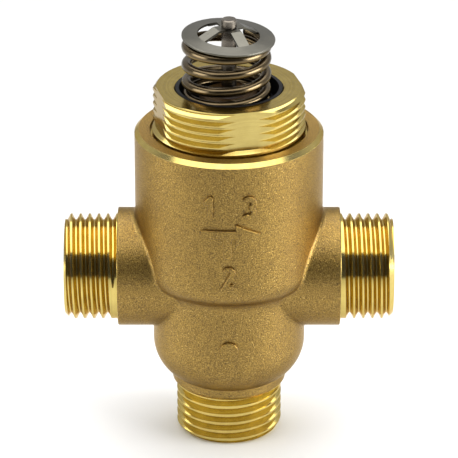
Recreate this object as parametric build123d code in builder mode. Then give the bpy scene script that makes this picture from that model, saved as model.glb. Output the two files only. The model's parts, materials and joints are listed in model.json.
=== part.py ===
from build123d import *
import math
import os

# A three-port zone valve of the kind that a small electric actuator screws on to.
# Port AB is on the right (+X), port A on the left (-X) and port B at the bottom.
# Millimetres, +Z up. The origin is the centre of the bottom port's end face.

os.makedirs("parts", exist_ok=True)

# Overall sizes
face_to_face = 65.0            # end face to end face of the two side ports
port_axis_height = 34.9        # axis of the side ports above the bottom port's face
body_top_above_axis = 29.85    # top ring of the body above the side ports' axis
stroke = 5.5                   # full travel of the stem

# Clearances, each on the radius
running_gap = 0.05
sliding_gap = 0.03
seat_gap = 0.05                # left between plug seal and seat at each end of the stroke
ring_gap = 0.02                # between an O-ring at rest and the wall it seals on
ring_side_gap = 0.1            # O-ring to each side of its groove
spacer_gap = 0.05              # between an O-ring on the stem and what lies next to it

# Port threads, G 1/2
port_thread_radius = 20.955 / 2
port_thread_pitch = 1.814
port_thread_depth = 1.162
port_thread_half_angle = 27.5
port_bore_radius = 7.5
port_bore_chamfer = 0.5
port_nose_chamfer = 1.1
port_thread_land = 0.55        # least distance from the boss to the middle of the first groove
bottom_thread_length = 10.3
right_thread_turn = 12         # where each thread starts, round its port
left_thread_turn = 50
bottom_thread_turn = 64

# Shape of every thread's groove, and how it begins and ends
root_share = 1 / 15            # half the flat root, as a share of the pitch
cutter_overrun = 0.15          # how far the thread's cutter reaches outside the bar
thread_last_turn = 0.35        # of a turn between the last whole turn and the bar's end
thread_overrun = 1.22          # turns that the cutter goes on past the end
runout_share = 1.5             # radius of the arc on which a groove fades out, to its root's
runout_arc = 60

# Side bosses
boss_radius = 11.75
boss_reach = 22.0              # boss end face from the valve's axis
boss_edge = 0.15
boss_fillet = 1.0

# Outside of the body, from the bottom up
neck_radius = 11.3
neck_edge = 0.8
lower_radius = 15.1
lower_shoulder_radius = 8.5
lower_shoulder_drop = 15.1     # top of the shoulder curve below the side ports' axis
ogee_bottom_drop = 3.8
ogee_top_rise = 2.6
body_radius = 18.5
body_top_chamfer = 0.8

# Raised casting marks on the front
mark_relief = 0.6
mark_rounding = 0.25
mark_depth = 2.2
mark_stroke = 1.05
numeral_height = 4.8
numeral_width = 2.6
numeral_flag = 0.9             # of the one, across and down
numeral_one_shift = 0.3
upper_numeral_rise = 20.9      # centres of the marks above the side ports' axis
upper_numeral_spread = 3.9     # half the distance between the two upper numerals
arrow_rise = 15.3
arrow_shift = 0.65             # of the arrow's middle from the body's
arrow_stem_shift = -0.3
arrow_length = 10.9
arrow_head_length = 4.8
arrow_head_width = 4.4
arrow_shaft_width = 1.7
arrow_stem_drop = 4.3
lower_numeral_rise = 6.1
pip_drop = 11.4
pip_radius = 1.9

# Inside of the body
seat_opening_radius = 6.5
seat_lip_width = 1.1
seat_lip_height = 0.5
chamber_floor_drop = 8.0       # floor of the middle chamber below the side ports' axis
chamber_roof_rise = 6.0
passage_radius = 5.8           # from each side port's bore inwards
port_bore_depth = 12.5
web_bore_wall = 1.5            # from the middle chamber out to the cage's seat
web_height = 6.5               # wall between the middle and the upper chamber
upper_chamber_radius = 13.5
side_wall = 3.1                # between the middle chamber and port A's passage
side_channel_depth = 2.8       # radial depth of the channel from port A to the upper chamber
side_channel_half_angle = 32.0
side_channel_top = 18.5        # above the side ports' axis

# Lower seat ring
seat_ring_wall = 2.2
seat_ring_height = 4.0

# Bonnet
bonnet_thread_radius = 15.0
bonnet_thread_pitch = 1.5
bonnet_thread_depth = 0.92
bonnet_thread_half_angle = 30.0
bonnet_height = 9.6            # above its seat in the body
bonnet_top_chamfer = 0.8
bonnet_undercut_height = 0.7
bonnet_undercut_depth = 0.5
bonnet_flat_distance = 13.9    # of the four spanner flats from the axis
bonnet_thread_land = 0.7       # least distance from the undercut to the middle of the first groove
bonnet_thread_turn = 182
bonnet_flat_rise = 1.9         # lower end of the flats above the bonnet's seat
bonnet_flat_angle = 14.5
bonnet_counterbore_gap = 0.5   # in the body's top, round the bonnet's foot
bonnet_counterbore_depth = 0.8
bonnet_root_radius = 14.0      # the stretch that screws into the body
bonnet_reach = 8.0             # below its seat in the body
bonnet_cavity_radius = 11.0
bonnet_cavity_height = 4.7
bonnet_o_ring_section = 1.6
bonnet_groove_drop = 0.5       # from the bonnet's seat down to its O-ring's groove

# Spring cup in the top of the bonnet
cup_outer_radius = 10.45
cup_wall = 0.7
cup_floor = 0.7
cup_recess_depth = 4.4         # below the top of the bonnet
cup_rim_drop = 0.15
cup_hole_gap = 0.2             # round the gland nut
recess_edge = 0.3              # chamfer at the mouth of the recess

# Stem and its seals
stem_radius = 1.5
stem_top_above_bonnet = 14.0
stem_head_height = 1.55
stem_head_chamfer = 0.2
stem_end_chamfer = 0.3
stem_pass_gap = 0.5            # round the stem where nothing seals or guides it
stem_groove_height = 0.65
stem_groove_radius = 1.15
stem_shoulder_radius = 2.6
stem_shoulder_height = 2.5
stem_o_ring_section = 1.5
o_ring_spacer_height = 1.1
gland_head_radius = 5.8
gland_head_height = 2.2
gland_shank_radius = 4.95
gland_o_ring_section = 1.0
gland_groove_clear = 0.6       # between the cup's floor and the gland's groove
gland_edge = 0.4
gland_cavity_drop = 0.4        # from the cup's floor down to the seals' cavity
wiper_radius = 3.0
wiper_height = 1.25
wiper_bevel_width = 0.6
wiper_bevel_height = 0.4
wiper_stand = 0.3              # how far the wiper stands above the gland nut
bush_flange_height = 2.2
bush_spigot_height = 0.6

# Cage with the upper seat
cage_flange_gap = 0.1          # inside the upper chamber
cage_flange_height = 1.0
cage_wall = 2.0
cage_top_height = 2.0
cage_window_half_angle = 32.0
cage_cone_radius = 8.5
cage_cone_start = 2.0
cage_o_ring_section = 1.5
cage_groove_rise = 2.4         # from the chamber's roof up to the cage's groove

# Plug
plug_margin = 0.7              # of the plug past the seats' lips
plug_gap = 1.2                 # round the plug, inside the middle chamber
plug_rim = 0.6
plug_recess = 0.6
seal_thickness = 1.5
washer_radius = 5.0
washer_thickness = 0.7
nut_across_flats = 5.5
nut_height = 2.4
stem_end_length = 0.5          # of the stem below the nut

# Return spring
spring_wire_radius = 1.0
spring_cup_gap = 1.0           # between the coil and the cup's wall
spring_side_shift = -0.5       # the coil stands a little to the left in its cup
spring_start_angle = -10.0
spring_top_gap = 0.25
# The coil is closed at both ends and open between. Each pair is a number of turns from the
# bottom and the pitch there, before all are scaled together to fill the spring's height.
spring_pitches = ((0, 2.0), (1.0, 2.1), (1.5, 3.35), (3.6, 3.35), (3.9, 0.6), (4.2, 0.3))
spring_steps_per_turn = 12

# Spring retainer
retainer_overhang = 0.35       # of the retainer past the coil
retainer_thickness = 0.45
retainer_window_radius = 6.1
retainer_rim_dish = 0.4
retainer_spoke_width = 2.35
retainer_spoke_thickness = 0.4
retainer_spoke_rise = 2.07
retainer_spoke_angle = 30.0
retainer_spoke_root = 0.3      # how far a spoke runs into the rim
retainer_spoke_bend = 0.4      # how far inside the window's edge a spoke turns up
retainer_side_tilt = 3.4       # left side up
retainer_back_tilt = 2.0       # back up
retainer_grip = 0.05

# Levels and fits worked out from the sizes above
axis_z = port_axis_height
port_face = face_to_face / 2
body_top = axis_z + body_top_above_axis
bonnet_seat = body_top - bonnet_counterbore_depth
bonnet_top = bonnet_seat + bonnet_height
bonnet_bottom = bonnet_seat - bonnet_reach
chamber_floor = axis_z - chamber_floor_drop
chamber_roof = axis_z + chamber_roof_rise
web_top = chamber_roof + web_height
lower_seat_level = chamber_floor + seat_lip_height
upper_seat_level = chamber_roof - seat_lip_height
cup_floor_bottom = bonnet_top - cup_recess_depth
cup_floor_top = cup_floor_bottom + cup_floor
bonnet_counterbore_radius = bonnet_thread_radius + bonnet_counterbore_gap
cage_flange_radius = upper_chamber_radius - cage_flange_gap
plug_radius = seat_opening_radius + seat_lip_width + plug_margin
chamber_radius = plug_radius + plug_gap
spring_outer_radius = cup_outer_radius - cup_wall - spring_cup_gap
spring_mean_radius = spring_outer_radius - spring_wire_radius
retainer_radius = spring_outer_radius + retainer_overhang
gland_top = cup_floor_top + gland_head_height
stem_top = bonnet_top + stem_top_above_bonnet
stem_groove_top = stem_top - stem_head_height
stem_groove_bottom = stem_groove_top - stem_groove_height

# The plug fills the space between the seats, less the stroke and the two gaps.
plug_top = upper_seat_level - seat_gap
plug_height = plug_top - lower_seat_level - seat_gap - stroke
plug_bottom = plug_top - plug_height
stem_shoulder_bottom = plug_top + washer_thickness
stem_bottom = plug_bottom - washer_thickness - nut_height - stem_end_length
stem_bore_radius = stem_radius + running_gap


def threaded_bar(radius, pitch, depth, half_angle, land, length, nose_chamfer):
    # A solid bar along +Z from z = 0, with a right-hand V thread that runs out at its end.
    # The groove begins on +X, a whole number of turns and a bit below the end, no nearer to
    # z = 0 than the land, and fades out backwards on an arc of a larger radius.
    root_radius = radius - depth
    root_half = pitch * root_share
    open_half = root_half + (depth + cutter_overrun) * math.tan(math.radians(half_angle))
    whole_turns = int((length - land) / pitch - thread_last_turn)
    start = length - (whole_turns + thread_last_turn) * pitch
    runout_radius = runout_share * root_radius
    with BuildLine(Plane.XY.offset(start)) as path:
        Helix(pitch, (whole_turns + thread_last_turn + thread_overrun) * pitch, root_radius)
    with BuildSketch(Plane(origin=path.line @ 0, x_dir=(1, 0, 0), z_dir=(0, 1, 0))) as tooth:
        with BuildLine():
            Polyline(
                (0, -root_half),
                (depth + cutter_overrun, -open_half),
                (depth + cutter_overrun, open_half),
                (0, root_half),
                close=True,
            )
        make_face()
    with BuildPart() as groove:
        sweep(tooth.sketch, path=path.line, is_frenet=True)
    with BuildPart() as runout:
        revolve(
            tooth.sketch,
            axis=Axis((root_radius - runout_radius, 0, 0), (0, 0, 1)),
            revolution_arc=-runout_arc,
        )
    with BuildPart() as bar:
        with Locations((0, 0, length / 2)):
            Cylinder(radius, length)
        add(groove.part, mode=Mode.SUBTRACT)
        add(runout.part, mode=Mode.SUBTRACT)
        with BuildSketch(Plane.XZ):
            with BuildLine():
                Polyline(
                    (radius - nose_chamfer, length),
                    (radius + 1, length - nose_chamfer - 1),
                    (radius + 1, length + 1),
                    (radius - nose_chamfer, length + 1),
                    close=True,
                )
            make_face()
        revolve(axis=Axis.Z, mode=Mode.SUBTRACT)
    return bar.part


def port_spigot(length):
    # A threaded port along +Z. Its bore is cut later.
    return threaded_bar(
        port_thread_radius,
        port_thread_pitch,
        port_thread_depth,
        port_thread_half_angle,
        port_thread_land,
        length,
        port_nose_chamfer,
    )


def ring(outer_radius, inner_radius, bottom, top):
    # A plain round washer between two levels.
    with BuildPart() as washer:
        with BuildSketch(Plane.XY.offset(bottom)):
            Circle(outer_radius)
            Circle(inner_radius, mode=Mode.SUBTRACT)
        extrude(amount=top - bottom)
    return washer.part


def o_ring(inner_radius, section, middle):
    # A round-section ring whose hole has the given radius, centred on one level.
    with BuildPart() as torus:
        with BuildSketch(Plane.XZ):
            with Locations((inner_radius + section / 2, middle)):
                Circle(section / 2)
        revolve(axis=Axis.Z)
    return torus.part


# Raised marks: two numerals and a flow arrow on the upper body, one numeral and a
# round pip lower down. They follow the cylinder behind them.
def numeral_one(x, z):
    half = numeral_height / 2 - mark_stroke / 2
    with Locations((x, z)):
        SlotCenterToCenter(2 * half, mark_stroke, rotation=90)
    with Locations((x - numeral_flag / 2, z + half - numeral_flag / 2)):
        SlotCenterToCenter(numeral_flag * math.sqrt(2), mark_stroke, rotation=45)


def numeral_two(x, z):
    half = numeral_height / 2 - mark_stroke / 2
    bend = (numeral_width - mark_stroke) / 2
    with BuildLine() as line:
        bow = CenterArc((x, z + half - bend), bend, 165, -195)
        Polyline(bow @ 1, (x - bend, z - half), (x + bend, z - half))
    trace(line.line, mark_stroke)


def numeral_three(x, z):
    half = numeral_height / 2 - mark_stroke / 2
    bend = half / 2
    for middle, first, sweep_angle in ((z + bend, 150, -240), (z - bend, 90, -240)):
        with BuildLine() as line:
            CenterArc((x, middle), bend, first, sweep_angle)
        trace(line.line, mark_stroke)


def flow_arrow(z):
    tip = arrow_length / 2 + arrow_shift
    tail = tip - arrow_length
    neck = tip - arrow_head_length
    half_shaft = arrow_shaft_width / 2
    with BuildLine() as outline:
        Polyline(
            (tail, z - half_shaft),
            (neck, z - half_shaft),
            (neck, z - arrow_head_width / 2),
            (tip, z),
            (neck, z + arrow_head_width / 2),
            (neck, z + half_shaft),
            (tail, z + half_shaft),
        )
        ThreePointArc((tail, z + half_shaft), (tail - half_shaft, z), (tail, z - half_shaft))
    make_face(outline.edges())
    with Locations((arrow_stem_shift, z - arrow_stem_drop / 2)):
        SlotOverall(arrow_stem_drop + arrow_shaft_width, arrow_shaft_width, rotation=90)


def on_cylinder(radius):
    # A selector of the edges that lie on an upright cylinder round the valve's axis.
    def lies_on(edge):
        points = [edge.position_at(share) for share in (0.1, 0.5, 0.9)]
        return all(math.isclose(math.hypot(point.X, point.Y), radius, abs_tol=0.01) for point in points)

    return lies_on


with BuildPart() as upper_marks:
    with BuildSketch(Plane.XZ.offset(body_radius - mark_depth)):
        numeral_one(numeral_one_shift - upper_numeral_spread, axis_z + upper_numeral_rise)
        numeral_three(upper_numeral_spread, axis_z + upper_numeral_rise)
        numeral_two(0, axis_z + lower_numeral_rise)
        flow_arrow(axis_z + arrow_rise)
    extrude(amount=2 * mark_depth)
    with BuildSketch():
        Circle(body_radius + mark_relief)
    extrude(amount=body_top, mode=Mode.INTERSECT)
    fillet(upper_marks.edges().filter_by(on_cylinder(body_radius + mark_relief)), mark_rounding)

with BuildPart() as lower_pip:
    with BuildSketch(Plane.XZ.offset(lower_radius - mark_depth)):
        with Locations((0, axis_z - pip_drop)):
            Circle(pip_radius)
    extrude(amount=2 * mark_depth)
    with BuildSketch():
        Circle(lower_radius + mark_relief)
    extrude(amount=body_top, mode=Mode.INTERSECT)
    fillet(lower_pip.edges().filter_by(on_cylinder(lower_radius + mark_relief)), mark_rounding)


# Valve body: a forged shell with three threaded ports
side_spigot = port_spigot(port_face - boss_reach)
bottom_spigot = port_spigot(bottom_thread_length)
seat_ring_radius = seat_opening_radius + seat_ring_wall
seat_ring_floor = chamber_floor - seat_ring_height
body_thread_bore = bonnet_root_radius + running_gap
web_bore_radius = chamber_radius + web_bore_wall
channel_inner_radius = chamber_radius + side_wall
channel_outer_radius = channel_inner_radius + side_channel_depth
shoulder_fall = math.sqrt(
    lower_shoulder_radius**2 - (lower_shoulder_radius - lower_radius + neck_radius) ** 2
)
ogee_bottom = axis_z - ogee_bottom_drop
ogee_top = axis_z + ogee_top_rise
ogee_middle = ((lower_radius + body_radius) / 2, (ogee_bottom + ogee_top) / 2)
shoulder_top = axis_z - lower_shoulder_drop
port_mouth_radius = port_bore_radius + port_bore_chamfer


def runs_round_boss(edge):
    # Where a side boss meets the upright body.
    point = edge.position_at(0.37)
    from_boss_axis = math.hypot(point.Y, point.Z - axis_z)
    on_end_face = math.isclose(abs(point.X), boss_reach, abs_tol=0.01)
    on_boss = math.isclose(from_boss_axis, boss_radius, abs_tol=0.01)
    return on_boss and not on_end_face and edge.geom_type != GeomType.LINE


def ends_boss(edge):
    # The rim of a side boss's end face.
    middle = edge.center()
    on_end_face = math.isclose(abs(middle.X), boss_reach, abs_tol=0.01)
    return on_end_face and edge.geom_type == GeomType.CIRCLE


with BuildPart() as valve_body:
    with BuildSketch(Plane.XZ):
        with BuildLine():
            Polyline(
                (0, body_top),
                (0, bottom_thread_length),
                (neck_radius - neck_edge, bottom_thread_length),
                (neck_radius, bottom_thread_length + neck_edge),
                (neck_radius, shoulder_top - shoulder_fall),
            )
            TangentArc((lower_radius, shoulder_top), (neck_radius, shoulder_top - shoulder_fall),
                       tangent=(0, -1), tangent_from_first=True)
            Line((lower_radius, shoulder_top), (lower_radius, ogee_bottom))
            flare = TangentArc((lower_radius, ogee_bottom), ogee_middle, tangent=(0, 1))
            TangentArc(ogee_middle, (body_radius, ogee_top), tangent=flare % 1)
            Polyline(
                (body_radius, ogee_top),
                (body_radius, body_top - body_top_chamfer),
                (body_radius - body_top_chamfer, body_top),
                (0, body_top),
            )
        make_face()
    revolve(axis=Axis.Z)
    with BuildSketch(Plane.YZ):
        with Locations((0, axis_z)):
            Circle(boss_radius)
    extrude(amount=boss_reach, both=True)
    rim_edges = valve_body.edges().filter_by(runs_round_boss)
    fillet(rim_edges, boss_fillet)
    chamfer(valve_body.edges().filter_by(ends_boss), boss_edge)
    with Locations(Plane(origin=(boss_reach, 0, axis_z), x_dir=(0, 1, 0), z_dir=(1, 0, 0))):
        add(side_spigot, rotation=(0, 0, right_thread_turn))
    with Locations(Plane(origin=(-boss_reach, 0, axis_z), x_dir=(0, -1, 0), z_dir=(-1, 0, 0))):
        add(side_spigot, rotation=(0, 0, left_thread_turn))
    with Locations(Plane(origin=(0, 0, bottom_thread_length), x_dir=(1, 0, 0), z_dir=(0, 0, -1))):
        add(bottom_spigot, rotation=(0, 0, bottom_thread_turn))
    add(upper_marks.part)
    add(lower_pip.part)

    # Upright bores and chambers
    with BuildSketch(Plane.XZ):
        with BuildLine():
            Polyline(
                (0, -1),
                (port_mouth_radius + 1, -1),
                (port_mouth_radius, 0),
                (port_bore_radius, port_bore_chamfer),
                (port_bore_radius, seat_ring_floor),
                (seat_ring_radius, seat_ring_floor),
                (seat_ring_radius, chamber_floor),
                (chamber_radius, chamber_floor),
                (chamber_radius, chamber_roof),
                (web_bore_radius, chamber_roof),
                (web_bore_radius, web_top),
                (upper_chamber_radius, web_top),
                (upper_chamber_radius, bonnet_bottom),
                (body_thread_bore, bonnet_bottom),
                (body_thread_bore, bonnet_seat),
                (bonnet_counterbore_radius, bonnet_seat),
                (bonnet_counterbore_radius, body_top + 1),
                (0, body_top + 1),
                close=True,
            )
        make_face()
    revolve(axis=Axis.Z, mode=Mode.SUBTRACT)

    # Port AB opens into the middle chamber, and port A stops at the chamber's wall
    for side, passage_end in ((1, 0), (-1, -channel_inner_radius)):
        with BuildSketch(Plane.XZ):
            with BuildLine():
                Polyline(
                    (passage_end, axis_z),
                    (side * (port_face + 1), axis_z),
                    (side * (port_face + 1), axis_z + port_mouth_radius + 1),
                    (side * port_face, axis_z + port_mouth_radius),
                    (side * (port_face - port_bore_chamfer), axis_z + port_bore_radius),
                    (side * (port_face - port_bore_depth), axis_z + port_bore_radius),
                    (side * (port_face - port_bore_depth), axis_z + passage_radius),
                    (passage_end, axis_z + passage_radius),
                    close=True,
                )
            make_face()
        revolve(axis=Axis((0, 0, axis_z), (1, 0, 0)), mode=Mode.SUBTRACT)

    # From port A a channel round the chamber's wall rises to the upper chamber
    for arc in (side_channel_half_angle, -side_channel_half_angle):
        with BuildSketch(Plane.XZ):
            with BuildLine():
                Polyline(
                    (-channel_outer_radius, axis_z),
                    (-channel_inner_radius, axis_z),
                    (-channel_inner_radius, axis_z + side_channel_top),
                    (-channel_outer_radius, axis_z + side_channel_top),
                    close=True,
                )
            make_face()
        revolve(axis=Axis.Z, revolution_arc=arc, mode=Mode.SUBTRACT)
valve_body.part.label = "valve_body"
export_step(valve_body.part, "parts/valve_body.step")


# Lower seat ring, pressed in above port B, with a raised lip round its opening
with BuildPart() as lower_seat_ring:
    with BuildSketch(Plane.XZ):
        with BuildLine():
            Polyline(
                (seat_opening_radius, seat_ring_floor),
                (seat_ring_radius, seat_ring_floor),
                (seat_ring_radius, chamber_floor),
                (seat_opening_radius + seat_lip_width, chamber_floor),
                (seat_opening_radius + seat_lip_width, lower_seat_level),
                (seat_opening_radius, lower_seat_level),
                close=True,
            )
        make_face()
    revolve(axis=Axis.Z)
lower_seat_ring.part.label = "lower_seat_ring"
export_step(lower_seat_ring.part, "parts/lower_seat_ring.step")


# Bonnet: screws into the body and carries the actuator's thread and the stem's seals
bonnet_groove_top = bonnet_seat - bonnet_groove_drop
bonnet_groove_bottom = bonnet_groove_top - bonnet_o_ring_section - 2 * ring_side_gap
bonnet_groove_radius = body_thread_bore - bonnet_o_ring_section - ring_gap
cup_recess_radius = cup_outer_radius + running_gap
gland_bore_radius = gland_shank_radius + running_gap
gland_groove_height = gland_o_ring_section + 2 * ring_side_gap
stem_seal_radius = stem_bore_radius + stem_o_ring_section + running_gap
stem_seal_height = 2 * (stem_o_ring_section + 2 * spacer_gap) + o_ring_spacer_height
gland_cavity_top = cup_floor_top - gland_cavity_drop
gland_shank_bottom = gland_cavity_top - stem_seal_height - bush_spigot_height
bush_bottom = gland_shank_bottom - bush_flange_height
bonnet_cavity_top = bonnet_bottom + bonnet_cavity_height
stem_pass_radius = stem_radius + stem_pass_gap
cup_hole_radius = gland_bore_radius + cup_hole_gap

bonnet_collar_bottom = bonnet_seat + bonnet_undercut_height
bonnet_bar = threaded_bar(
    bonnet_thread_radius,
    bonnet_thread_pitch,
    bonnet_thread_depth,
    bonnet_thread_half_angle,
    bonnet_thread_land,
    bonnet_top - bonnet_collar_bottom,
    bonnet_top_chamfer,
)

with BuildPart() as bonnet:
    with BuildSketch(Plane.XZ):
        with BuildLine():
            Polyline(
                (0, bonnet_bottom),
                (bonnet_root_radius, bonnet_bottom),
                (bonnet_root_radius, bonnet_groove_bottom),
                (bonnet_groove_radius, bonnet_groove_bottom),
                (bonnet_groove_radius, bonnet_groove_top),
                (bonnet_root_radius, bonnet_groove_top),
                (bonnet_root_radius, bonnet_seat),
                (bonnet_thread_radius - bonnet_undercut_depth, bonnet_seat),
                (bonnet_thread_radius - bonnet_undercut_depth, bonnet_collar_bottom),
                (0, bonnet_collar_bottom),
                close=True,
            )
        make_face()
    revolve(axis=Axis.Z)
    with Locations((0, 0, bonnet_collar_bottom)):
        add(bonnet_bar, rotation=(0, 0, bonnet_thread_turn))
    with BuildSketch(Plane.XY.offset(bonnet_seat + bonnet_flat_rise)):
        Circle(bonnet_thread_radius + 1)
        Rectangle(
            2 * bonnet_flat_distance,
            2 * bonnet_flat_distance,
            rotation=bonnet_flat_angle,
            mode=Mode.SUBTRACT,
        )
    extrude(amount=bonnet_height, mode=Mode.SUBTRACT)

    # Recess for the cup, bore for the gland nut, way for the stem, and the cavity below
    with BuildSketch(Plane.XZ):
        with BuildLine():
            Polyline(
                (0, bonnet_bottom - 1),
                (bonnet_cavity_radius, bonnet_bottom - 1),
                (bonnet_cavity_radius, bonnet_cavity_top),
                (stem_pass_radius, bonnet_cavity_top),
                (stem_pass_radius, bush_bottom),
                (gland_bore_radius, bush_bottom),
                (gland_bore_radius, cup_floor_bottom),
                (cup_recess_radius, cup_floor_bottom),
                (cup_recess_radius, bonnet_top - recess_edge),
                (cup_recess_radius + recess_edge + 1, bonnet_top + 1),
                (0, bonnet_top + 1),
                close=True,
            )
        make_face()
    revolve(axis=Axis.Z, mode=Mode.SUBTRACT)
bonnet.part.label = "bonnet"
export_step(bonnet.part, "parts/bonnet.step")

bonnet_o_ring = o_ring(
    bonnet_groove_radius,
    bonnet_o_ring_section,
    (bonnet_groove_bottom + bonnet_groove_top) / 2,
)
bonnet_o_ring.label = "bonnet_o_ring"
export_step(bonnet_o_ring, "parts/bonnet_o_ring.step")


# Cage: its foot carries the upper seat, and the bonnet clamps it on the web
cage_foot_radius = web_bore_radius - running_gap
cage_groove_radius = web_bore_radius - cage_o_ring_section - ring_gap
cage_groove_bottom = chamber_roof + cage_groove_rise
cage_groove_top = cage_groove_bottom + cage_o_ring_section + 2 * ring_side_gap
cage_inner_radius = cage_flange_radius - cage_wall

with BuildPart() as cage:
    with BuildSketch(Plane.XZ):
        with BuildLine():
            Polyline(
                (seat_opening_radius, upper_seat_level),
                (seat_opening_radius + seat_lip_width, upper_seat_level),
                (seat_opening_radius + seat_lip_width, chamber_roof),
                (cage_foot_radius, chamber_roof),
                (cage_foot_radius, cage_groove_bottom),
                (cage_groove_radius, cage_groove_bottom),
                (cage_groove_radius, cage_groove_top),
                (cage_foot_radius, cage_groove_top),
                (cage_foot_radius, web_top),
                (cage_flange_radius, web_top),
                (cage_flange_radius, bonnet_bottom),
                (cage_inner_radius, bonnet_bottom),
                (cage_inner_radius, web_top + cage_flange_height),
                (cage_cone_radius, web_top + cage_flange_height),
                (seat_opening_radius, chamber_roof + cage_cone_start),
                close=True,
            )
        make_face()
    revolve(axis=Axis.Z)
    window_bottom = web_top + cage_flange_height
    window_top = bonnet_bottom - cage_top_height
    window_half = cage_flange_radius * math.sin(math.radians(cage_window_half_angle))
    for direction in (0, 90):
        with BuildSketch(Plane.XY.offset(window_bottom)):
            Rectangle(4 * cage_flange_radius, 2 * window_half, rotation=direction)
        extrude(amount=window_top - window_bottom, mode=Mode.SUBTRACT)
cage.part.label = "cage"
export_step(cage.part, "parts/cage.step")

cage_o_ring = o_ring(
    cage_groove_radius,
    cage_o_ring_section,
    (cage_groove_bottom + cage_groove_top) / 2,
)
cage_o_ring.label = "cage_o_ring"
export_step(cage_o_ring, "parts/cage_o_ring.step")


# Spring cup: the plastic lining of the bonnet's recess, clamped by the gland nut
with BuildPart() as spring_cup:
    with BuildSketch(Plane.XZ):
        with BuildLine():
            Polyline(
                (cup_hole_radius, cup_floor_bottom),
                (cup_outer_radius, cup_floor_bottom),
                (cup_outer_radius, bonnet_top - cup_rim_drop),
                (cup_outer_radius - cup_wall, bonnet_top - cup_rim_drop),
                (cup_outer_radius - cup_wall, cup_floor_top),
                (cup_hole_radius, cup_floor_top),
                close=True,
            )
        make_face()
    revolve(axis=Axis.Z)
spring_cup.part.label = "spring_cup"
export_step(spring_cup.part, "parts/spring_cup.step")


# Gland nut: holds the stem's seals down
gland_groove_top = cup_floor_bottom - gland_groove_clear
gland_groove_bottom = gland_groove_top - gland_groove_height
gland_groove_radius = gland_bore_radius - gland_o_ring_section - ring_gap
wiper_seat = gland_top + wiper_stand - wiper_height
wiper_pocket_radius = wiper_radius + running_gap

with BuildPart() as gland_nut:
    with BuildSketch(Plane.XZ):
        with BuildLine():
            Polyline(
                (stem_pass_radius, gland_cavity_top),
                (stem_seal_radius, gland_cavity_top),
                (stem_seal_radius, gland_shank_bottom),
                (gland_shank_radius, gland_shank_bottom),
                (gland_shank_radius, gland_groove_bottom),
                (gland_groove_radius, gland_groove_bottom),
                (gland_groove_radius, gland_groove_top),
                (gland_shank_radius, gland_groove_top),
                (gland_shank_radius, cup_floor_top),
                (gland_head_radius, cup_floor_top),
                (gland_head_radius, gland_top - gland_edge),
                (gland_head_radius - gland_edge, gland_top),
                (wiper_pocket_radius, gland_top),
                (wiper_pocket_radius, wiper_seat),
                (stem_pass_radius, wiper_seat),
                close=True,
            )
        make_face()
    revolve(axis=Axis.Z)
gland_nut.part.label = "gland_nut"
export_step(gland_nut.part, "parts/gland_nut.step")

gland_o_ring = o_ring(
    gland_groove_radius,
    gland_o_ring_section,
    (gland_groove_bottom + gland_groove_top) / 2,
)
gland_o_ring.label = "gland_o_ring"
export_step(gland_o_ring, "parts/gland_o_ring.step")


# Guide bush under the gland nut, and the stem's two rings with a spacer between them
with BuildPart() as stem_guide_bush:
    with BuildSketch(Plane.XZ):
        with BuildLine():
            Polyline(
                (stem_radius + sliding_gap, bush_bottom),
                (gland_shank_radius, bush_bottom),
                (gland_shank_radius, gland_shank_bottom),
                (stem_seal_radius - running_gap, gland_shank_bottom),
                (stem_seal_radius - running_gap, gland_shank_bottom + bush_spigot_height),
                (stem_radius + sliding_gap, gland_shank_bottom + bush_spigot_height),
                close=True,
            )
        make_face()
    revolve(axis=Axis.Z)
stem_guide_bush.part.label = "stem_guide_bush"
export_step(stem_guide_bush.part, "parts/stem_guide_bush.step")

lower_ring_middle = gland_shank_bottom + bush_spigot_height + stem_o_ring_section / 2 + spacer_gap
spacer_bottom = lower_ring_middle + stem_o_ring_section / 2 + spacer_gap
spacer_top = spacer_bottom + o_ring_spacer_height
upper_ring_middle = spacer_top + stem_o_ring_section / 2 + spacer_gap

stem_o_ring_lower = o_ring(stem_bore_radius, stem_o_ring_section, lower_ring_middle)
stem_o_ring_lower.label = "stem_o_ring_lower"
export_step(stem_o_ring_lower, "parts/stem_o_ring_lower.step")

stem_o_ring_upper = o_ring(stem_bore_radius, stem_o_ring_section, upper_ring_middle)
stem_o_ring_upper.label = "stem_o_ring_upper"
export_step(stem_o_ring_upper, "parts/stem_o_ring_upper.step")

stem_o_ring_spacer = ring(
    stem_seal_radius - running_gap,
    stem_bore_radius + running_gap,
    spacer_bottom,
    spacer_top,
)
stem_o_ring_spacer.label = "stem_o_ring_spacer"
export_step(stem_o_ring_spacer, "parts/stem_o_ring_spacer.step")


# Wiper: the rubber collar round the stem in the gland nut's top
with BuildPart() as stem_wiper:
    with BuildSketch(Plane.XZ):
        with BuildLine():
            Polyline(
                (stem_bore_radius, wiper_seat),
                (wiper_radius, wiper_seat),
                (wiper_radius, wiper_seat + wiper_height - wiper_bevel_height),
                (wiper_radius - wiper_bevel_width, wiper_seat + wiper_height),
                (stem_bore_radius, wiper_seat + wiper_height),
                close=True,
            )
        make_face()
    revolve(axis=Axis.Z)
stem_wiper.part.label = "stem_wiper"
export_step(stem_wiper.part, "parts/stem_wiper.step")


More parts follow.
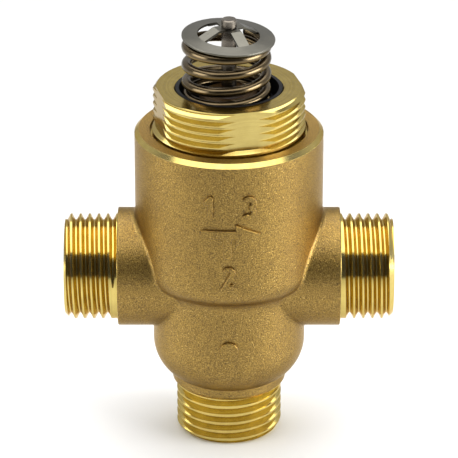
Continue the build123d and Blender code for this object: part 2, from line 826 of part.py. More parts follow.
# Stem: head and groove at the top, shoulder and threaded end for the plug below
with BuildPart() as stem:
    with BuildSketch(Plane.XZ):
        with BuildLine():
            Polyline(
                (0, stem_bottom),
                (stem_radius - stem_end_chamfer, stem_bottom),
                (stem_radius, stem_bottom + stem_end_chamfer),
                (stem_radius, stem_shoulder_bottom),
                (stem_shoulder_radius, stem_shoulder_bottom),
                (stem_shoulder_radius, stem_shoulder_bottom + stem_shoulder_height),
                (stem_radius, stem_shoulder_bottom + stem_shoulder_height),
                (stem_radius, stem_groove_bottom),
                (stem_groove_radius, stem_groove_bottom),
                (stem_groove_radius, stem_groove_top),
                (stem_radius, stem_groove_top),
                (stem_radius, stem_top - stem_head_chamfer),
                (stem_radius - stem_head_chamfer, stem_top),
                (0, stem_top),
                close=True,
            )
        make_face()
    revolve(axis=Axis.Z)
stem.part.label = "stem"
export_step(stem.part, "parts/stem.step")


# Spring retainer: a pressed steel disc with four spokes that grip the stem's groove.
# The real ones sit a little crooked, so it is tilted about the groove.
grip_level = stem_groove_bottom + stem_groove_height / 2
spoke_tip_top = retainer_spoke_thickness / 2
spoke_tip_bottom = -spoke_tip_top
rim_level = spoke_tip_bottom - retainer_spoke_rise
window_level = rim_level + retainer_rim_dish
spoke_foot = retainer_window_radius - retainer_spoke_bend
side_tilt = math.radians(retainer_side_tilt)
back_tilt = math.radians(retainer_back_tilt)
tilt_plane = Plane(
    origin=(0, 0, grip_level),
    x_dir=(math.cos(side_tilt), 0, -math.sin(side_tilt)),
    z_dir=(
        math.sin(side_tilt) * math.cos(back_tilt),
        -math.sin(back_tilt),
        math.cos(side_tilt) * math.cos(back_tilt),
    ),
)

with BuildPart() as retainer_upright:
    with BuildSketch(Plane.XZ):
        with BuildLine():
            Polyline(
                (retainer_window_radius, window_level),
                (retainer_radius, rim_level),
                (retainer_radius, rim_level + retainer_thickness),
                (retainer_window_radius, window_level + retainer_thickness),
                close=True,
            )
        make_face()
    revolve(axis=Axis.Z)
    outer_rims = retainer_upright.edges().filter_by(GeomType.CIRCLE).group_by(SortBy.RADIUS)[-1]
    fillet(outer_rims, retainer_thickness / 3)
    for turn in range(4):
        spoke_angle = math.radians(retainer_spoke_angle + 90 * turn)
        along = (math.cos(spoke_angle), math.sin(spoke_angle), 0)
        across = (math.sin(spoke_angle), -math.cos(spoke_angle), 0)
        with BuildSketch(Plane(origin=(0, 0, 0), x_dir=along, z_dir=across)):
            with BuildLine():
                Polyline(
                    (0, spoke_tip_bottom),
                    (stem_shoulder_radius, spoke_tip_bottom),
                    (spoke_foot, window_level),
                    (retainer_window_radius + retainer_spoke_root, window_level),
                    (
                        retainer_window_radius + retainer_spoke_root,
                        window_level + retainer_spoke_thickness,
                    ),
                    (
                        spoke_foot + retainer_spoke_thickness,
                        window_level + retainer_spoke_thickness,
                    ),
                    (stem_shoulder_radius + retainer_spoke_thickness / 2, spoke_tip_top),
                    (0, spoke_tip_top),
                    close=True,
                )
            make_face()
        extrude(amount=retainer_spoke_width / 2, both=True)
    with BuildSketch(Plane.XY.offset(rim_level)):
        Circle(stem_groove_radius + retainer_grip)
    extrude(amount=2 * retainer_spoke_rise, mode=Mode.SUBTRACT)

with BuildPart() as spring_retainer:
    with Locations(tilt_plane):
        add(retainer_upright.part)
spring_retainer.part.label = "spring_retainer"
export_step(spring_retainer.part, "parts/spring_retainer.step")


# Return spring: a right-hand coil with closed ends between the cup and the retainer. Its
# lower end is level, and it leans with the retainer towards the top.
def spring_rise_at(turn):
    # Height of the unscaled coil above its start: the pitch summed over the turns so far.
    rise = 0
    for (turn_0, pitch_0), (turn_1, pitch_1) in zip(spring_pitches, spring_pitches[1:]):
        done = min(max(turn - turn_0, 0), turn_1 - turn_0)
        pitch_here = pitch_0 + (pitch_1 - pitch_0) * done / (turn_1 - turn_0)
        rise += done * (pitch_0 + pitch_here) / 2
    return rise


spring_turns = spring_pitches[-1][0]
spring_bottom = cup_floor_top + spring_wire_radius
spring_top = grip_level + rim_level - spring_top_gap - spring_wire_radius
spring_steps = round(spring_turns * spring_steps_per_turn)

spring_points = []
for step in range(spring_steps + 1):
    turn = step * spring_turns / spring_steps
    angle = math.radians(spring_start_angle + 360 * turn)
    x = spring_side_shift + spring_mean_radius * math.cos(angle)
    y = spring_mean_radius * math.sin(angle)
    share = spring_rise_at(turn) / spring_rise_at(spring_turns)
    lean = y * math.tan(back_tilt) / math.cos(side_tilt) - x * math.tan(side_tilt)
    level = spring_bottom + (spring_top - spring_bottom) * share
    spring_points.append((x, y, level + lean * share**3))

with BuildPart() as return_spring:
    with BuildLine() as spring_path:
        Spline(spring_points)
    with BuildSketch(Plane(origin=spring_path.line @ 0, z_dir=spring_path.line % 0)):
        Circle(spring_wire_radius)
    sweep(path=spring_path.line)
return_spring.part.label = "return_spring"
export_step(return_spring.part, "parts/return_spring.step")


# Plug: a brass disc with a rubber seal let into each face, clamped on the stem's end
plug_body_top = plug_top - seal_thickness + plug_recess
plug_body_bottom = plug_bottom + seal_thickness - plug_recess
seal_radius = plug_radius - plug_rim

with BuildPart() as plug_body:
    with BuildSketch(Plane.XZ):
        with BuildLine():
            Polyline(
                (stem_bore_radius, plug_body_bottom + plug_recess),
                (seal_radius, plug_body_bottom + plug_recess),
                (seal_radius, plug_body_bottom),
                (plug_radius, plug_body_bottom),
                (plug_radius, plug_body_top),
                (seal_radius, plug_body_top),
                (seal_radius, plug_body_top - plug_recess),
                (stem_bore_radius, plug_body_top - plug_recess),
                close=True,
            )
        make_face()
    revolve(axis=Axis.Z)
plug_body.part.label = "plug_body"
export_step(plug_body.part, "parts/plug_body.step")

upper_plug_seal = ring(
    seal_radius - running_gap,
    stem_bore_radius,
    plug_top - seal_thickness,
    plug_top,
)
upper_plug_seal.label = "upper_plug_seal"
export_step(upper_plug_seal, "parts/upper_plug_seal.step")

lower_plug_seal = ring(
    seal_radius - running_gap,
    stem_bore_radius,
    plug_bottom,
    plug_bottom + seal_thickness,
)
lower_plug_seal.label = "lower_plug_seal"
export_step(lower_plug_seal, "parts/lower_plug_seal.step")

upper_seal_washer = ring(washer_radius, stem_bore_radius, plug_top, stem_shoulder_bottom)
upper_seal_washer.label = "upper_seal_washer"
export_step(upper_seal_washer, "parts/upper_seal_washer.step")

lower_seal_washer = ring(
    washer_radius,
    stem_bore_radius,
    plug_bottom - washer_thickness,
    plug_bottom,
)
lower_seal_washer.label = "lower_seal_washer"
export_step(lower_seal_washer, "parts/lower_seal_washer.step")

with BuildPart() as plug_nut:
    with BuildSketch(Plane.XY.offset(plug_bottom - washer_thickness - nut_height)):
        RegularPolygon(nut_across_flats / 2, 6, major_radius=False)
        Circle(stem_bore_radius, mode=Mode.SUBTRACT)
    extrude(amount=nut_height)
plug_nut.part.label = "plug_nut"
export_step(plug_nut.part, "parts/plug_nut.step")
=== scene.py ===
import bpy
import bmesh
import json
import math
from mathutils import Matrix, Vector


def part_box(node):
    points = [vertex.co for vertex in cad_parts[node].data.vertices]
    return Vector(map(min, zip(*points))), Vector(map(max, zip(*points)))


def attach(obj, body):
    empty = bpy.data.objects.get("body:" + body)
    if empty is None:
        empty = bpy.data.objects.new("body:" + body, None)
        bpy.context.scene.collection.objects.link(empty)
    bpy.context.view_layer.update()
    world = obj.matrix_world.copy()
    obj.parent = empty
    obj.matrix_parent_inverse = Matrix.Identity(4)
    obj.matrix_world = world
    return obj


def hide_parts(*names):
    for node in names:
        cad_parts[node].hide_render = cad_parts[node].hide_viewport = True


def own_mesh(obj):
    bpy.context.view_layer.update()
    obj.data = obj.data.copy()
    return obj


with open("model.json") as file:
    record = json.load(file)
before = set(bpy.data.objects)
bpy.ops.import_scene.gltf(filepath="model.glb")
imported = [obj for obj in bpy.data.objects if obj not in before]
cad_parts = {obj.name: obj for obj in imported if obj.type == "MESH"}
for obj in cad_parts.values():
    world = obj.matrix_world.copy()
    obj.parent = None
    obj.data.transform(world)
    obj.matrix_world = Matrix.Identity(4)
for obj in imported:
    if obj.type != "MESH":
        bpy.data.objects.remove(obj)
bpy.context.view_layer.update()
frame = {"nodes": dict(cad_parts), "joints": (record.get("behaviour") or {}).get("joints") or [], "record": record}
mm = 0.001


class Wire:
    # A node's output that can be used in sums, so that r * 2 + 1 adds its Math nodes.
    def __init__(self, shader, socket):
        self.shader = shader
        self.socket = socket

    def maths(self, operation, *others):
        values = {index: other for index, other in enumerate(others)}
        return self.shader.node("ShaderNodeMath", {"operation": operation}, values)

    def __add__(self, other):
        return self.maths("ADD", self, other)

    def __radd__(self, other):
        return self.maths("ADD", other, self)

    def __sub__(self, other):
        return self.maths("SUBTRACT", self, other)

    def __rsub__(self, other):
        return self.maths("SUBTRACT", other, self)

    def __mul__(self, other):
        return self.maths("MULTIPLY", self, other)

    def __rmul__(self, other):
        return self.maths("MULTIPLY", other, self)

    def size(self):
        return self.maths("ABSOLUTE", self)

    def root(self):
        return self.maths("SQRT", self)

    def most(self, other):
        return self.maths("MAXIMUM", self, other)

    def least(self, other):
        return self.maths("MINIMUM", self, other)

    def sine(self):
        return self.maths("SINE", self)

    def ramp(self, low, high):
        # 0 below low, 1 above high, smooth in between
        return self.shader.node(
            "ShaderNodeMapRange",
            {"interpolation_type": "SMOOTHSTEP"},
            {"Value": self, "From Min": low, "From Max": high},
        )


class Shader:
    # The node tree of a material or of the sky
    def __init__(self, owner, coordinates="Object"):
        self.owner = owner
        owner.use_nodes = True
        self.tree = owner.node_tree
        self.tree.nodes.clear()
        self.place = self.node("ShaderNodeTexCoord", {}, {}, coordinates)
        parts = self.node("ShaderNodeSeparateXYZ", {}, {"Vector": self.place}, None)
        self.x = Wire(self, parts.outputs["X"])
        self.y = Wire(self, parts.outputs["Y"])
        self.z = Wire(self, parts.outputs["Z"])

    def fromStem(self):
        # Distance from the upright axis that the stem slides along
        return (self.x * self.x + self.y * self.y).root()

    def node(self, kind, settings, values, output=0):
        # Adds a node: its settings first, then the values or wires of its sockets
        added = self.tree.nodes.new(kind)
        for name, value in settings.items():
            setattr(added, name, value)
        for name, value in values.items():
            socket = added.inputs[name]
            if isinstance(value, Wire):
                self.tree.links.new(value.socket, socket)
            else:
                socket.default_value = value
        if output is None:
            return added
        return Wire(self, added.outputs[output])

    def noise(self, scale, detail=2, roughness=0.5, vector=None):
        return self.node(
            "ShaderNodeTexNoise",
            {},
            {
                "Vector": vector or self.place,
                "Scale": scale,
                "Detail": detail,
                "Roughness": roughness,
            },
            "Fac",
        )

    def lineNoise(self, along, scale, detail, roughness=0.6):
        # Noise that changes only along one measure, for turned surfaces
        return self.node(
            "ShaderNodeTexNoise",
            {"noise_dimensions": "1D"},
            {"W": along, "Scale": scale, "Detail": detail, "Roughness": roughness},
            "Fac",
        )

    def cells(self, scale):
        # Distance to the nearest of many scattered points
        return self.node(
            "ShaderNodeTexVoronoi", {}, {"Vector": self.place, "Scale": scale}, "Distance"
        )

    def mixColour(self, factor, low, high):
        # A colour Mix takes its factor and colours at sockets 0, 6 and 7, and gives output 2
        return self.node("ShaderNodeMix", {"data_type": "RGBA"}, {0: factor, 6: low, 7: high}, 2)

    def stretched(self, scale):
        return self.node("ShaderNodeMapping", {}, {"Vector": self.place, "Scale": scale}, "Vector")

    def bump(self, height, strength, distance, normal=None):
        values = {"Height": height, "Strength": strength, "Distance": distance}
        if normal is not None:
            values["Normal"] = normal
        return self.node("ShaderNodeBump", {}, values, "Normal")

    def surface(self, values):
        principled = self.node("ShaderNodeBsdfPrincipled", {}, values, "BSDF")
        self.node("ShaderNodeOutputMaterial", {}, {"Surface": principled}, None)
        return self.owner

    def metal(self, colour, roughness, normal, finish):
        # The edge colour tints what is seen at a grazing angle; the film over it is clear
        return self.surface(
            {
                "Base Color": colour,
                "Metallic": 1.0,
                "Roughness": roughness,
                "Normal": normal,
                "Specular Tint": finish["edge"],
                "Coat Weight": finish["film"],
                "Coat Roughness": finish["filmRoughness"],
            }
        )


def newMaterial(name):
    return Shader(bpy.data.materials.new(name))


def rgb(red, green, blue):
    # sRGB bytes to the linear colour that a socket takes
    def linear(value):
        value = value / 255
        return value / 12.92 if value <= 0.04045 else ((value + 0.055) / 1.055) ** 2.4

    return (linear(red), linear(green), linear(blue), 1.0)


bodyHigh = Vector(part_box("valve_body")[1])
springLow = Vector(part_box("return_spring")[0])
retainerLow, retainerHigh = [Vector(corner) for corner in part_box("spring_retainer")]
mounts = {mount["name"]: mount for mount in frame["record"]["mounts"]}
portAxis = mounts["port_ab_thread"]["pos_m"][2]
bossFace = bodyHigh.x - mounts["port_ab_thread"]["dims"]["length_mm"] * mm
neckFace = mounts["port_b_thread"]["dims"]["length_mm"] * mm
print("frame loaded")


castFinish = {
    # painted shade: the colour painted into the grain's hollows and pits
    "paintedShade": rgb(66, 48, 18),
    "dark": rgb(103, 78, 32),
    "light": rgb(172, 140, 66),
    # painted highlight: a near-white colour painted on the highest grain as glints
    "paintedHighlight": rgb(250, 226, 150),
    "edge": (0.80, 0.66, 0.45, 1),
    "film": 0.45,
    "filmRoughness": 0.4,
    "grain": 0.17 * mm,
    "grainDepth": 0.115 * mm,
    "grainStrength": 0.9,
    "softGrain": 0.35,  # how fine the soft grain is, beside the grain
    "patchScale": 130,
    "pitSpacing": 1.5 * mm,
    "pitRange": (0.08, 0.2),
    "peakRange": (0.4, 0.6),
    "hollowRange": (0.34, 0.5),
    "paintedHighlightRange": (0.62, 0.74),
    "tone": {"peaks": 0.7, "patches": 0.3, "softGrain": 0.1, "shift": -0.08},
    "hollows": {"grain": 0.6, "pits": 0.3, "most": 0.9},
    "paintedHighlights": 0.7,
    "height": {"grain": 0.8, "softGrain": 0.5, "pits": 0.3},
    "roughness": 0.28,
    "grainRoughness": 0.3,
    "patchRoughness": 0.08,
    "stepRoughness": 0.5,  # of the step round the bonnet
    "softEdge": 0.05 * mm,  # over which a machined surface meets the forged one
    "topEdge": 0.8 * mm,
    "rimRadius": 17.7 * mm,
    "boreRadius": 10.95 * mm,
    "mouthRadius": 8.05 * mm,
    "upperBoreRadius": 15.3 * mm,
    "upperBoreFloor": 46.0 * mm,
}
turnedFinish = {
    "low": rgb(162, 138, 64),
    "high": rgb(228, 206, 120),
    "edge": (0.45, 0.34, 0.18, 1),
    "film": 0.8,
    "filmRoughness": 0.12,
    "grooveDepth": 0.012 * mm,
    "grooveStrength": 0.5,
    "roughness": 0.15,
}
shadedGlandFinish = {
    # painted shade: the gland's low and high colours are darkened for the shadow in the recess
    "low": rgb(44, 30, 17),
    "high": rgb(112, 86, 54),
    "edge": (0.7, 0.6, 0.45, 1),
    "film": 0.3,
    "filmRoughness": 0.2,
    "roughness": 0.4,
    "grooveDepth": 0.05 * mm,
    "grooveStrength": 0.8,
    "ringSpacing": 0.55 * mm,
    "ringHeight": 0.5,
    "ringColour": 0.35,
}
latheMarks = {
    "fineScale": 9000,
    "coarseScale": 1700,
    "wanderScale": 420,
    "fine": 0.6,
    "coarse": 0.4,
    "wander": 0.12,
    "marksContrast": 1.3,
    "marksShift": -0.15,
    "marksColour": 0.6,
    "wanderColour": 0.4,
    "fineRoughness": 0.12,
    "coarseRoughness": 0.08,
    "roughnessShift": -0.09,
}


def turnedRings(shader, across, finish):
    # Lathe marks: fine and coarse grooves that run round the part
    m = latheMarks
    fine = shader.lineNoise(across, m["fineScale"], detail=2)
    coarse = shader.lineNoise(across, m["coarseScale"], detail=1)
    wander = shader.noise(m["wanderScale"])
    marks = fine * m["fine"] + coarse * m["coarse"] + wander * m["wander"]
    tone = (marks * m["marksContrast"] + m["marksShift"]) * m["marksColour"]
    colour = shader.mixColour(tone + wander * m["wanderColour"], finish["low"], finish["high"])
    roughness = fine * m["fineRoughness"] + coarse * m["coarseRoughness"]
    return marks, colour, roughness + (finish["roughness"] + m["roughnessShift"])


def castBrass():
    # Blasted forging on the outside, turned where the ports, the top and the bores are machined
    shader = newMaterial("forgedBrass")
    f = castFinish
    x, y, z = shader.x, shader.y, shader.z
    soft = f["softEdge"]
    fromStem = shader.fromStem()
    fromPortAxis = (y * y + (z - portAxis) * (z - portAxis)).root()
    sidePorts = x.size().ramp(bossFace - 2 * soft, bossFace - soft)
    bottomPort = 1 - z.ramp(neckFace + soft, neckFace + 2 * soft)
    step = z.ramp(bodyHigh.z - f["topEdge"] - soft, bodyHigh.z - f["topEdge"])
    topRim = step * fromStem.ramp(f["rimRadius"] - soft, f["rimRadius"])
    stemBore = 1 - fromStem.ramp(f["boreRadius"], f["boreRadius"] + soft)
    portBore = 1 - fromPortAxis.ramp(f["mouthRadius"], f["mouthRadius"] + soft)
    upperBore = 1 - fromStem.ramp(f["upperBoreRadius"], f["upperBoreRadius"] + soft)
    upperBore = upperBore * z.ramp(f["upperBoreFloor"], f["upperBoreFloor"] + soft)
    turned = sidePorts.most(bottomPort).most(topRim).most(stemBore).most(portBore).most(upperBore)

    # Shot marks: fine grain, with darker hollows between brighter peaks; the hollows and pits get painted shade
    grain = shader.noise(1 / f["grain"], detail=3, roughness=0.6)
    softGrain = shader.noise(f["softGrain"] / f["grain"])
    patches = shader.noise(f["patchScale"], detail=3, roughness=0.55)
    pits = 1 - shader.cells(1 / f["pitSpacing"]).ramp(*f["pitRange"])
    shares = f["tone"]
    tone = grain.ramp(*f["peakRange"]) * shares["peaks"] + patches * shares["patches"]
    tone = tone + softGrain * shares["softGrain"] + shares["shift"]
    castColour = shader.mixColour(tone, f["dark"], f["light"])
    # Painted shade: the hollows and pits are mixed towards the shade colour
    shares = f["hollows"]
    hollowShade = (1 - grain.ramp(*f["hollowRange"])) * shares["grain"] + pits * shares["pits"]
    castColour = shader.mixColour(hollowShade.least(shares["most"]), castColour, f["paintedShade"])
    # Painted highlight: the highest grain is painted near white, as glints of light
    paintedHighlights = grain.ramp(*f["paintedHighlightRange"]) * f["paintedHighlights"]
    castColour = shader.mixColour(paintedHighlights, castColour, f["paintedHighlight"])
    castRough = f["roughness"] + (0.5 - grain) * f["grainRoughness"]
    castRough = castRough + patches * f["patchRoughness"]
    castRough = castRough + step * (f["stepRoughness"] - f["roughness"])
    shares = f["height"]
    castHeight = grain * shares["grain"] + softGrain * shares["softGrain"] - pits * shares["pits"]

    across = sidePorts * x.size() + (1 - sidePorts) * (z + fromStem)
    marks, turnedColour, turnedRough = turnedRings(shader, across, turnedFinish)

    colour = shader.mixColour(turned, castColour, turnedColour)
    roughness = castRough + (turnedRough - castRough) * turned
    castNormal = shader.bump(castHeight * (1 - turned), f["grainStrength"], f["grainDepth"])
    t = turnedFinish
    normal = shader.bump(marks * turned, t["grooveStrength"], t["grooveDepth"], castNormal)
    return shader.metal(colour, roughness, normal, f)


def turnedBrass():
    shader = newMaterial("turnedBrass")
    f = turnedFinish
    marks, colour, roughness = turnedRings(shader, shader.z + shader.fromStem(), f)
    normal = shader.bump(marks, f["grooveStrength"], f["grooveDepth"])
    return shader.metal(colour, roughness, normal, f)


def shadedGlandBrass():
    # The gland nut's dark colours are painted shade, for the shadow deep in the recess, with plain rings cut into
    # its face
    shader = newMaterial("shadedGlandBrass")
    f = shadedGlandFinish
    fromStem = shader.fromStem()
    marks, colour, roughness = turnedRings(shader, shader.z + fromStem, f)
    wave = (fromStem * (2 * math.pi / f["ringSpacing"])).sine()
    colour = shader.mixColour((wave + 1) * f["ringColour"], colour, f["high"])
    normal = shader.bump(marks + wave * f["ringHeight"], f["grooveStrength"], f["grooveDepth"])
    return shader.metal(colour, roughness, normal, f)


steelFinish = {
    "edge": (0.8, 0.8, 0.8, 1),
    "film": 0.2,
    "filmRoughness": 0.2,
    "tarnishScale": 260,
    "gritScale": 5200,
    "detailRoughness": 0.6,
    "streakColour": 0.5,
    "tarnishColour": 0.6,
    "colourShift": -0.05,
    "streakRoughness": 0.16,
    "tarnishRoughness": 0.14,
    "streakHeight": 0.6,
    "gritHeight": 0.4,
    "scratchDepth": 0.012 * mm,
    "scratchStrength": 0.45,
}


def drawnSteel(name, low, high, base, streak):
    # Sheet, rod or wire: streaks along the draw, fine grit and a faint tarnish.
    # base is the roughness, and streak the scale of the streaks along x, y and z.
    shader = newMaterial(name)
    f = steelFinish
    streaks = shader.noise(1, 3, f["detailRoughness"], shader.stretched(streak))
    tarnish = shader.noise(f["tarnishScale"], 3, f["detailRoughness"])
    grit = shader.noise(f["gritScale"], 2, f["detailRoughness"])
    tone = streaks * f["streakColour"] + tarnish * f["tarnishColour"] + f["colourShift"]
    colour = shader.mixColour(tone, low, high)
    roughness = base + (streaks - 0.5) * f["streakRoughness"]
    roughness = roughness + (tarnish - 0.5) * f["tarnishRoughness"]
    height = streaks * f["streakHeight"] + grit * f["gritHeight"]
    normal = shader.bump(height, f["scratchStrength"], f["scratchDepth"])
    return shader.metal(colour, roughness, normal, f)


plasticFinish = {
    "cloudScale": 300,
    "textureScale": 4200,
    "textureRoughness": 0.18,
    "textureStrength": 0.35,
    "textureDepth": 0.02 * mm,
}


def mouldedPlastic(name, low, high, base, shine=0.5):
    # Plastic or rubber: base is the roughness, and shine how much it mirrors
    shader = newMaterial(name)
    f = plasticFinish
    colour = shader.mixColour(shader.noise(f["cloudScale"], detail=3), low, high)
    texture = shader.noise(f["textureScale"])
    roughness = base + (texture - 0.5) * f["textureRoughness"]
    normal = shader.bump(texture, f["textureStrength"], f["textureDepth"])
    return shader.surface(
        {
            "Base Color": colour,
            "Roughness": roughness,
            "Normal": normal,
            "Specular IOR Level": shine,
        }
    )


wireColours = {"low": rgb(74, 61, 40), "high": rgb(118, 102, 74)}
sheetColours = {"low": rgb(80, 78, 70), "high": rgb(118, 115, 105)}
stemColours = {"low": rgb(100, 93, 84), "high": rgb(150, 142, 130)}
cupColours = {"low": rgb(3, 3, 8), "high": rgb(8, 8, 12)}
rubberColours = {"low": rgb(16, 15, 14), "high": rgb(30, 28, 26)}
wiperColours = {"low": rgb(46, 32, 22), "high": rgb(74, 54, 38)}
bushColours = {"low": rgb(214, 212, 202), "high": rgb(232, 230, 222)}
finishes = {
    "cast": castBrass(),
    "turned": turnedBrass(),
    "gland": shadedGlandBrass(),
    "wire": drawnSteel("springWire", **wireColours, base=0.24, streak=(500, 500, 5000)),
    "sheet": drawnSteel("pressedSteel", **sheetColours, base=0.32, streak=(900, 4200, 900)),
    "stem": drawnSteel("groundStem", **stemColours, base=0.24, streak=(600, 600, 9000)),
    "cup": mouldedPlastic("blackCup", **cupColours, base=0.6, shine=0.2),
    "rubber": mouldedPlastic("sealRubber", **rubberColours, base=0.62),
    "wiper": mouldedPlastic("wiperRubber", **wiperColours, base=0.5),
    "bush": mouldedPlastic("whiteBush", **bushColours, base=0.45),
}
nodeFinish = {
    "valve_body": "cast",
    "lower_seat_ring": "turned",
    "bonnet": "turned",
    "cage": "turned",
    "plug_body": "turned",
    "plug_nut": "turned",
    "gland_nut": "gland",
    "spring_retainer": "sheet",
    "upper_seal_washer": "sheet",
    "lower_seal_washer": "sheet",
    "stem": "stem",
    "return_spring": "wire",
    "spring_cup": "cup",
    "stem_wiper": "wiper",
    "stem_guide_bush": "bush",
    "stem_o_ring_spacer": "bush",
}
print("materials made")


def paint(thing, finish):
    thing.data.materials.clear()
    thing.data.materials.append(finishes[finish])


for nodeName, nodeObject in frame["nodes"].items():
    paint(nodeObject, nodeFinish.get(nodeName, "rubber"))
print("frame painted")


springSettings = {
    "wireRadius": 1.0 * mm,
    "meanRadius": 7.75 * mm,
    "sideShift": -0.5 * mm,  # the coil stands a little to the left in its cup
    "wireSides": 20,
    "stepsPerTurn": 48,
    "startAngle": -10,
    "pitches": ((0, 2.0), (1.0, 2.1), (1.5, 3.35), (3.6, 3.35), (3.9, 0.6), (4.2, 0.3)),
    "topGap": -0.10 * mm,  # the wire rises a little into the dish of the retainer
    "sideTilt": math.radians(3.4),
    "backTilt": math.radians(2.0),
}


def newPiece(name, mesh, finish, bodyName):
    data = bpy.data.meshes.new(name)
    mesh.to_mesh(data)
    mesh.free()
    for polygon in data.polygons:
        polygon.use_smooth = True
    piece = bpy.data.objects.new(name, data)
    bpy.context.collection.objects.link(piece)
    paint(piece, finish)
    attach(piece, bodyName)
    return piece


def fixOrder(items, measure):
    # Puts vertices or faces in the order of a measure, so that each run makes the same mesh
    rank = {item: place for place, item in enumerate(sorted(items, key=measure))}
    items.sort(key=rank.get)
    items.index_update()


def springRise(turn):
    # Height of the coil above its start before it is scaled: the pitch summed over the turns
    rise = 0
    pitches = springSettings["pitches"]
    for (turnA, pitchA), (turnB, pitchB) in zip(pitches, pitches[1:]):
        done = min(max(turn - turnA, 0), turnB - turnA)
        rise += done * (pitchA + (pitchB - pitchA) * done / (turnB - turnA) / 2)
    return rise


def makeSpring():
    s = springSettings
    turns = s["pitches"][-1][0]
    floor = springLow.z
    slope = math.hypot(math.tan(s["sideTilt"]), math.tan(s["backTilt"]))
    retainerMiddle = retainerLow.z + (retainerHigh.x - retainerLow.x) / 2 * slope
    ceiling = retainerMiddle - s["topGap"]
    height = ceiling - floor - 2 * s["wireRadius"]
    steps = round(turns * s["stepsPerTurn"])
    stepTurn = turns / steps
    mesh = bmesh.new()
    ringCut = bmesh.ops.create_circle(
        mesh, cap_ends=False, segments=s["wireSides"], radius=s["wireRadius"]
    )
    place = (
        Matrix.Translation((s["sideShift"], 0, 0))
        @ Matrix.Rotation(math.radians(s["startAngle"]), 4, "Z")
        @ Matrix.Translation((s["meanRadius"], 0, floor + s["wireRadius"]))
        @ Matrix.Rotation(math.radians(90), 4, "X")
    )
    bmesh.ops.transform(mesh, matrix=place, verts=ringCut["verts"])
    edge = mesh.edges[:]
    firstEdge = edge
    for step in range(steps):
        climb = springRise((step + 1) * stepTurn) - springRise(step * stepTurn)
        spun = bmesh.ops.spin(
            mesh,
            geom=edge,
            cent=(s["sideShift"], 0, 0),
            axis=(0, 0, 1),
            dvec=(0, 0, climb * height / springRise(turns)),
            angle=2 * math.pi * stepTurn,
            steps=1,
            use_duplicate=False,
        )
        edge = [item for item in spun["geom_last"] if isinstance(item, bmesh.types.BMEdge)]
    bmesh.ops.edgenet_fill(mesh, edges=firstEdge)
    bmesh.ops.edgenet_fill(mesh, edges=edge)
    for vertex in mesh.verts:
        # The coil leans with the tilted retainer, more towards the top
        share = min(max((vertex.co.z - floor - s["wireRadius"]) / height, 0), 1)
        lean = vertex.co.y * math.tan(s["backTilt"]) - vertex.co.x * math.tan(s["sideTilt"])
        vertex.co.z += lean * share**3
    bmesh.ops.recalc_face_normals(mesh, faces=mesh.faces)
    fixOrder(mesh.verts, lambda vertex: tuple(vertex.co))
    fixOrder(mesh.faces, lambda face: sorted(vertex.index for vertex in face.verts))
    spring = newPiece("return_spring_coil", mesh, "wire", "valve")
    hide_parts("return_spring")
    # The coil's low side below the retainer, set against the stem's travel when the stem is pressed; the ratio is
    # worked out but not used
    travel = frame["joints"][0]["range_m"][1]
    lowSide = ceiling - floor - slope * (s["meanRadius"] + s["wireRadius"])
    (lowSide - travel) / lowSide
    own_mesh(spring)


makeSpring()
print("spring made")


studio = {
    "floorSize": 3.0,
    "floorNear": (0.80, 0.80, 0.795, 1),
    # painted shade: the darker floor colour far from the stem, a painted light falloff
    "floorFarShade": (0.58, 0.58, 0.575, 1),
    "floorShadeFade": (0.05, 0.16),
    "floorRoughness": 0.6,
    "aim": (0, 0, 0.04),
    "overheadPlace": (0, 0.07, 0.75),
    "overheadSize": (1.3, 1.26),
    "overheadPower": 14.0,
    "sidePlace": (0.76, -0.24, 0.20),
    "sideSize": (0.55, 0.40),
    "leftPower": 3.6,
    "rightPower": 8.0,
    "frontSky": 0.055,
    "backSky": 0.6,
    "skyFade": (-0.1, 0.55),
}


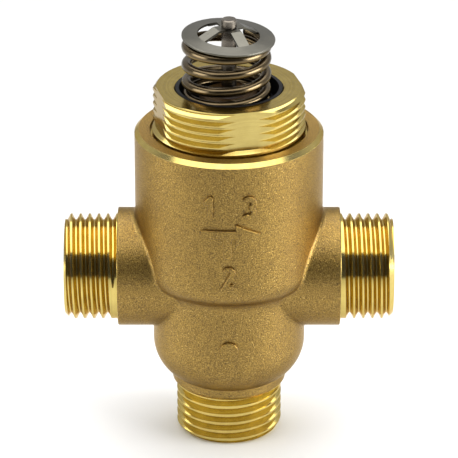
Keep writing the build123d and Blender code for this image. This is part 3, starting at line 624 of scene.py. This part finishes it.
def makeFloor():
    mesh = bmesh.new()
    bmesh.ops.create_grid(mesh, x_segments=1, y_segments=1, size=studio["floorSize"])
    data = bpy.data.meshes.new("studioFloor")
    mesh.to_mesh(data)
    mesh.free()
    floor = bpy.data.objects.new("studioFloor", data)
    bpy.context.collection.objects.link(floor)
    shader = newMaterial("studioFloor")
    # Painted shade: the floor colour darkens away from the stem, as painted light falloff
    paintedFalloff = shader.fromStem().ramp(*studio["floorShadeFade"])
    colour = shader.mixColour(paintedFalloff, studio["floorNear"], studio["floorFarShade"])
    floor.data.materials.append(
        shader.surface({"Base Color": colour, "Roughness": studio["floorRoughness"]})
    )


def makeLight(name, place, size, power):
    lamp = bpy.data.lights.new(name, "AREA")
    lamp.shape = "RECTANGLE"
    lamp.size, lamp.size_y = size
    lamp.energy = power
    light = bpy.data.objects.new(name, lamp)
    light.location = place
    towards = Vector(studio["aim"]) - Vector(place)
    light.rotation_euler = towards.to_track_quat("-Z", "Y").to_euler()
    bpy.context.collection.objects.link(light)


view = {
    "elevation": 24.7,
    "distance": 0.700,
    "lens": 278.0,
    "sensorWidth": 36,
    "clipStart": 0.01,
    "aimAbovePortAxis": 8.05 * mm,
}


def makeCamera():
    camera = bpy.data.objects.new("camera", bpy.data.cameras.new("camera"))
    camera.data.lens = view["lens"]
    camera.data.sensor_width = view["sensorWidth"]
    aim = Vector((0, 0, portAxis + view["aimAbovePortAxis"]))
    up = math.radians(view["elevation"])
    camera.location = aim + Vector((0, -math.cos(up), math.sin(up))) * view["distance"]
    camera.rotation_euler = (aim - camera.location).to_track_quat("-Z", "Y").to_euler()
    camera.data.clip_start = view["clipStart"]
    bpy.context.collection.objects.link(camera)
    bpy.context.scene.camera = camera


def makeSky():
    # Dim in front and lighter behind, which draws the dark bands on the turned ports
    sky = Shader(bpy.data.worlds.new("studioSky"), "Generated")
    rise = studio["backSky"] - studio["frontSky"]
    values = {
        "Color": (1, 1, 1, 1),
        "Strength": sky.y.ramp(*studio["skyFade"]) * rise + studio["frontSky"],
    }
    light = sky.node("ShaderNodeBackground", {}, values, "Background")
    sky.node("ShaderNodeOutputWorld", {}, {"Surface": light}, None)
    bpy.context.scene.world = sky.owner


makeFloor()
makeLight("overhead", studio["overheadPlace"], studio["overheadSize"], studio["overheadPower"])
for side, name in ((-1, "left"), (1, "right")):
    x, y, z = studio["sidePlace"]
    makeLight(name, (side * x, y, z), studio["sideSize"], studio[name + "Power"])
makeSky()
makeCamera()
bpy.context.scene.view_settings.view_transform = "Standard"
print("studio made")
